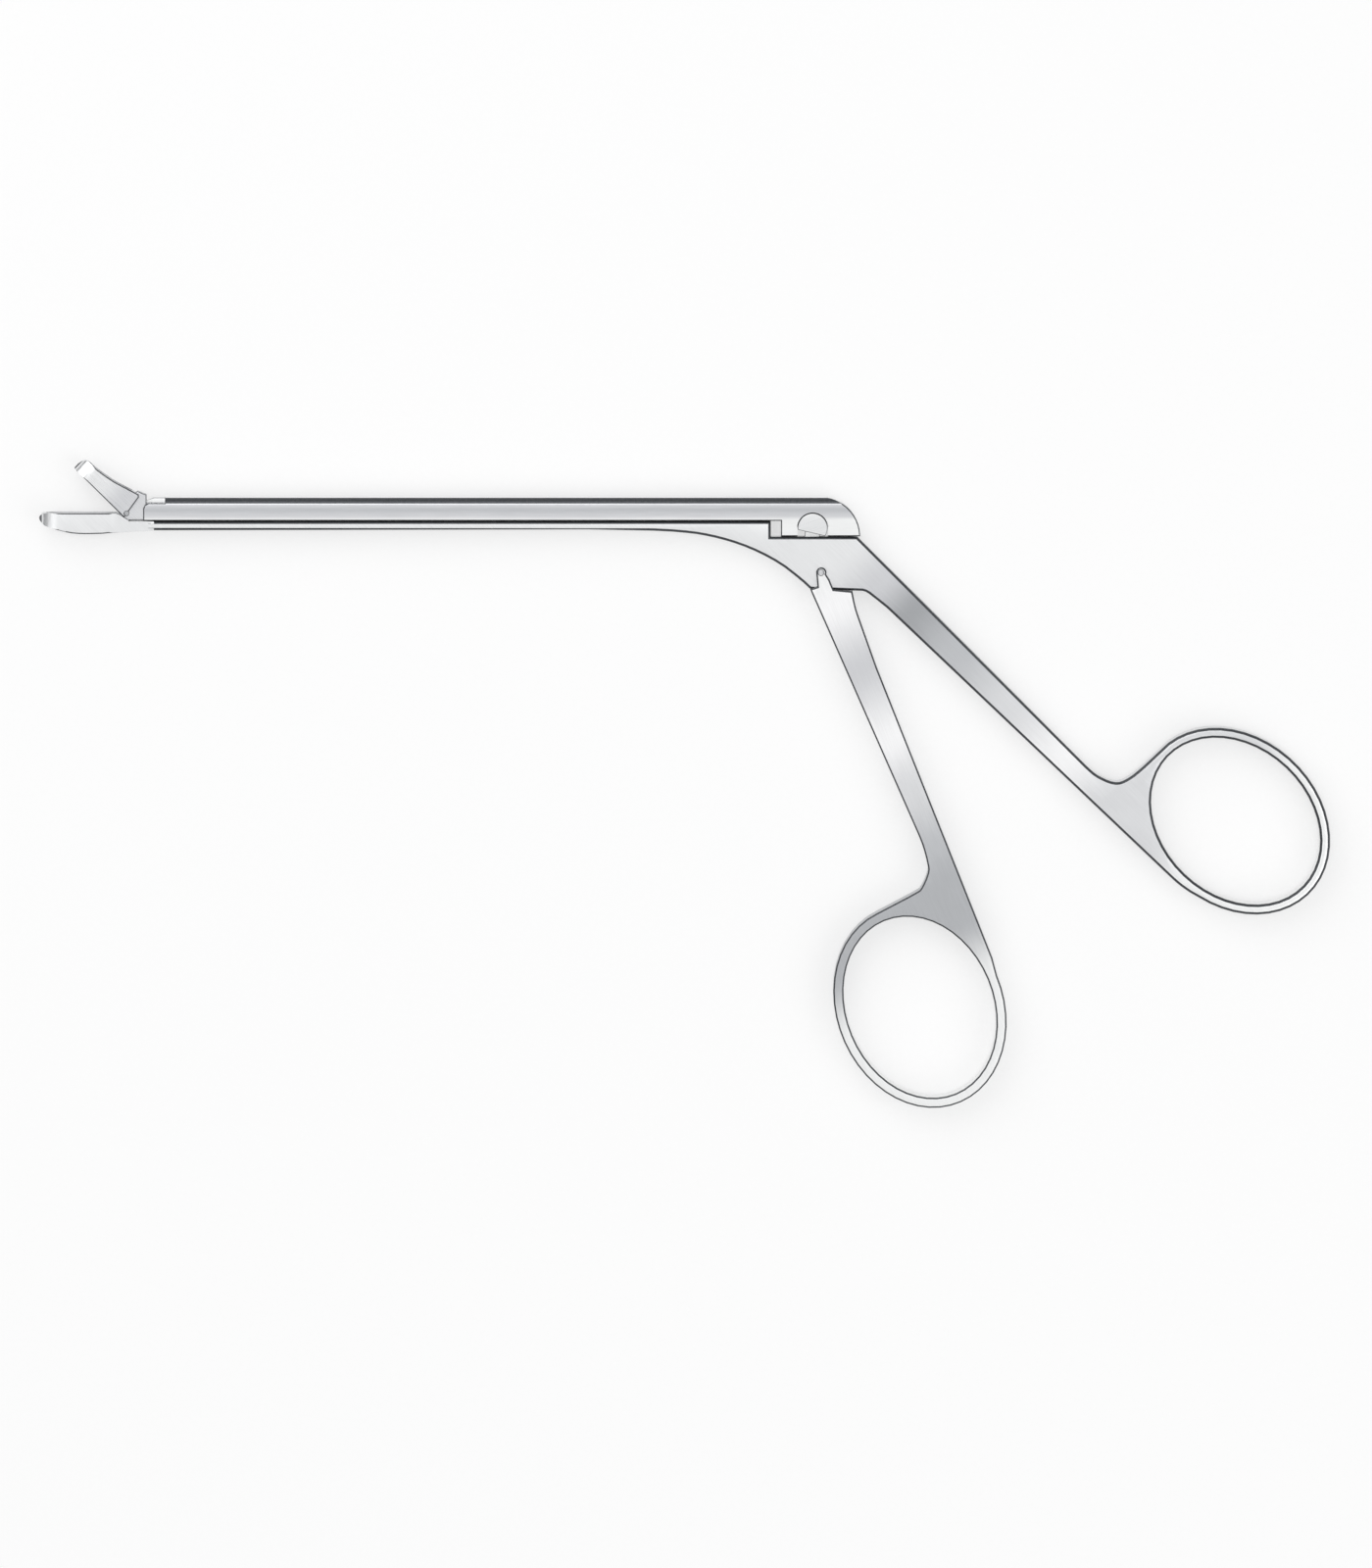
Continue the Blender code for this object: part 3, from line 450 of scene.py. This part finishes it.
# %% Slide
slide_low, slide_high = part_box("slide_shaft")
slide_steel = satin_steel(
    "satin_steel_slide", direction_deg=90.0, brush_deg=0.0,
    origin_mm=(slide_low.x / MM, slide_low.y / MM), length_mm=(slide_high.y - slide_low.y) / MM,
    stops=[(0.0, BRIGHT), (0.42, BRIGHT), (0.56, MIDDLE), (0.70, GREY), (0.82, MIDDLE),
           (0.93, BRIGHT), (1.0, LIGHTEST)])
softened("slide_shaft", "slide_bar", "slide", radius_mm=0.12, steel=slide_steel,
         slopes=SLIDE_SLOPES)

# %% [markdown]
# ## Steel of the small pieces
# The jaw is milled hollow, so it punches rather than crushes. The drive head is turned and pressed
# on the handle's blade. The pins are hardened wire, ground flush and a little glossier.

# %% Steel of the small pieces
# Their bands are painted shade and highlight too: soft bands along the jaw, a grey that grows
# lighter across the head, and a lighter stripe down the middle of each pin.
jaw_steel = satin_steel(
    "satin_steel_jaw", direction_deg=OPEN_JAW_DEG, brush_deg=OPEN_JAW_DEG, roughness=0.3,
    origin_mm=(jaw_pivot_mm[0] - 8.0, jaw_pivot_mm[1] + 9.0), length_mm=16.0,
    stops=[(0.0, PALE), (0.35, PALE), (0.6, MIDDLE), (0.85, SOFT), (1.0, PALE)])
head_steel = satin_steel(
    "turned_steel_head", direction_deg=90.0, brush_deg=20.0, roughness=0.32,
    origin_mm=(handle_pivot_mm[0], handle_pivot_mm[1] + 5.0), length_mm=5.0,
    stops=[(0.0, PALE), (0.5, PALE), (1.0, BRIGHT)])
pin_steel = satin_steel(
    "ground_pin_wire", direction_deg=0.0, brush_deg=60.0, roughness=0.28,
    origin_mm=(handle_pivot_mm[0] - 0.5, handle_pivot_mm[1]), length_mm=1.0,
    stops=[(0.0, DIM), (0.5, SOFT), (1.0, DIM)])
print("steels", jaw_steel.name, head_steel.name, pin_steel.name)

# %% [markdown]
# ## The upper jaw, the drive head and the pins
# All are softened in the same way as the big pieces, only with finer bevels, so one loop does it.

# %% Jaw, head and pins
small_pieces = (  # frame node, name, body it rides on, bevel in mm, steel, slot
    ("moving_jaw", "upper_jaw", "jaw", 0.06, jaw_steel, "satin_steel"),
    ("drive_head", "drive_head_turned", "handle", 0.08, head_steel, "satin_steel"),
    ("handle_pivot_pin", "handle_pin", "frame", 0.06, pin_steel, "pin_steel"),
    ("jaw_pivot_pin", "jaw_pin", "frame", 0.04, pin_steel, "pin_steel"),
    ("jaw_link_pin", "link_pin", "jaw", 0.04, pin_steel, "pin_steel"))
for node, name, body, radius_mm, steel, slot in small_pieces:
    softened(node, name, body, radius_mm, steel)

# %% [markdown]
# ## White card
# A plain matt sheet lies under the instrument and keeps its contact shadow. Where the eye or a
# reflection in the steel meets it, it is lifted towards the white of the page by mixing in some
# plain white. Diffuse rays don't see that share, so it doesn't wash out the shadow.

# %% White card
PAPER_GRAIN_MM = 0.8
PAPER_ROUGHNESS = 0.9
PAGE_SHARE = 0.6


def white_card(name):
    """Matt white card with a faint paper grain, lifted towards page white for eye and mirror."""
    material, shader = new_material(name)
    paper = mottled(material, PAPER_GRAIN_MM, [(0.0, "#FBFBFB"), (1.0, "#FFFFFF")])
    links = material.node_tree.links
    links.new(paper, shader.inputs["Base Color"])
    shader.inputs["Roughness"].default_value = PAPER_ROUGHNESS
    page = add_node(material, "ShaderNodeEmission", {},
                    {"Color": linear("#FEFEFE"), "Strength": 1.0})
    rays = add_node(material, "ShaderNodeLightPath")
    seen = rays.outputs["Is Camera Ray"]
    for ray in ("Is Glossy Ray", "Is Transmission Ray"):
        seen = add_node(material, "ShaderNodeMath", {"operation": "MAXIMUM"},
                        {0: seen, 1: rays.outputs[ray]}).outputs[0]
    share = add_node(material, "ShaderNodeMath", {"operation": "MULTIPLY"},
                     {0: seen, 1: PAGE_SHARE}).outputs[0]
    mixed = add_node(material, "ShaderNodeMixShader", {}, {
        0: share, 1: shader.outputs["BSDF"], 2: page.outputs["Emission"]})
    output = material.node_tree.nodes["Material Output"]
    links.new(mixed.outputs["Shader"], output.inputs["Surface"])
    return material


card = white_card("matt_white_card")
print("card", card.name)

# %% [markdown]
# ## The table
# One flat square, wide enough to fill the picture from every side that the part is looked at.

# %% Table
TABLE_WIDTH_MM = 6000.0

table_shape = bmesh.new()
bmesh.ops.create_grid(table_shape, x_segments=1, y_segments=1, size=TABLE_WIDTH_MM / 2.0 * MM)
table_mesh = bpy.data.meshes.new("table")
table_shape.to_mesh(table_mesh)
table_shape.free()
table = bpy.data.objects.new("table", table_mesh)
bpy.context.scene.collection.objects.link(table)
table.data.materials.append(card)
print("table", TABLE_WIDTH_MM, "mm wide")

# %% [markdown]
# ## The room
# The room is white overhead and greyer towards its walls, so the flats stay pale while the rounded
# edges, which mirror the walls, are drawn darker. The ramp reads how steeply a ray goes up, from 0
# at the horizon to 1 overhead.

# %% Room
world = bpy.data.worlds.new("white_room")
world.use_nodes = True
ray = add_node(world, "ShaderNodeTexCoord").outputs["Generated"]
height = add_node(world, "ShaderNodeSeparateXYZ", {}, {"Vector": ray}).outputs["Z"]
room = add_node(world, "ShaderNodeValToRGB", {}, {"Fac": height},
                [(0.35, "#88898A"), (0.80, "#F0F0F0")]).outputs["Color"]
world.node_tree.links.new(room, world.node_tree.nodes["Background"].inputs["Color"])
bpy.context.scene.world = world
print("room", world.name)

# %% [markdown]
# ## The lamps
# Two big soft lamps, one at the upper left and a weaker one at the right, light the sheet and give
# the instrument a faint shadow. They are much wider than the forceps, which keeps the highlights
# on the flats soft; only a small facet on the upper jaw's nose still shines out.

# %% Lamps
def soft_lamp(name, place_mm, width_mm, watts):
    """A square area lamp that faces the middle of the table."""
    lamp_data = bpy.data.lights.new(name, "AREA")
    lamp_data.size = width_mm * MM
    lamp_data.energy = watts
    lamp = bpy.data.objects.new(name, lamp_data)
    lamp.location = [value * MM for value in place_mm]
    lamp.rotation_euler = (-Vector(place_mm)).to_track_quat("-Z", "Y").to_euler()
    bpy.context.scene.collection.objects.link(lamp)
    print(name, watts, "W")


soft_lamp("key_lamp", place_mm=(-420.0, 520.0, 720.0), width_mm=1000.0, watts=3.7)
soft_lamp("fill_lamp", place_mm=(620.0, -260.0, 700.0), width_mm=700.0, watts=1.7)

# %% [markdown]
# ## Camera
# The drawing is a plain side view without perspective, so the camera looks down from far away
# through a long lens. It leans four degrees towards the top of the page, because the drawing shows
# the jaws a little from that side. The picture frame is 1400 by 1600 pixels; the drawing's scale
# and the place of the handle pivot in it set the lens and the place of the camera.

# %% Camera
PIXEL_MM = 0.152
FRAME_WIDTH_PX = 1400.0
FRAME_HEIGHT_PX = 1600.0
PIVOT_PX = (837.5, 583.0)
CAMERA_HEIGHT_MM = 3000.0
SENSOR_MM = 36.0
TILT_DEG = 4.0
CLIP_END_M = 20.0

view_width_mm = FRAME_WIDTH_PX * PIXEL_MM
view_height_mm = FRAME_HEIGHT_PX * PIXEL_MM
centre_x = handle_pivot_mm[0] + (FRAME_WIDTH_PX / 2.0 - PIVOT_PX[0]) * PIXEL_MM
centre_y = handle_pivot_mm[1] - (FRAME_HEIGHT_PX / 2.0 - PIVOT_PX[1]) * PIXEL_MM
camera_data = bpy.data.cameras.new("page_camera")
camera_data.sensor_fit = "VERTICAL"
camera_data.sensor_height = SENSOR_MM
camera_data.lens = SENSOR_MM * CAMERA_HEIGHT_MM / view_height_mm
camera_data.clip_end = CLIP_END_M
camera = bpy.data.objects.new("page_camera", camera_data)
bpy.context.scene.collection.objects.link(camera)
tilt = math.radians(TILT_DEG)
camera.location = (centre_x * MM, (centre_y + CAMERA_HEIGHT_MM * math.sin(tilt)) * MM,
                   (handle_pivot_mm[2] + CAMERA_HEIGHT_MM * math.cos(tilt)) * MM)
camera.rotation_euler = (-tilt, 0.0, 0.0)
bpy.context.scene.camera = camera
print("view", round(view_width_mm, 1), "by", round(view_height_mm, 1), "mm")

# %% [markdown]
# ## Finish
# The picture is shown with the Standard view transform.

# %% Finish
bpy.context.scene.view_settings.view_transform = "Standard"
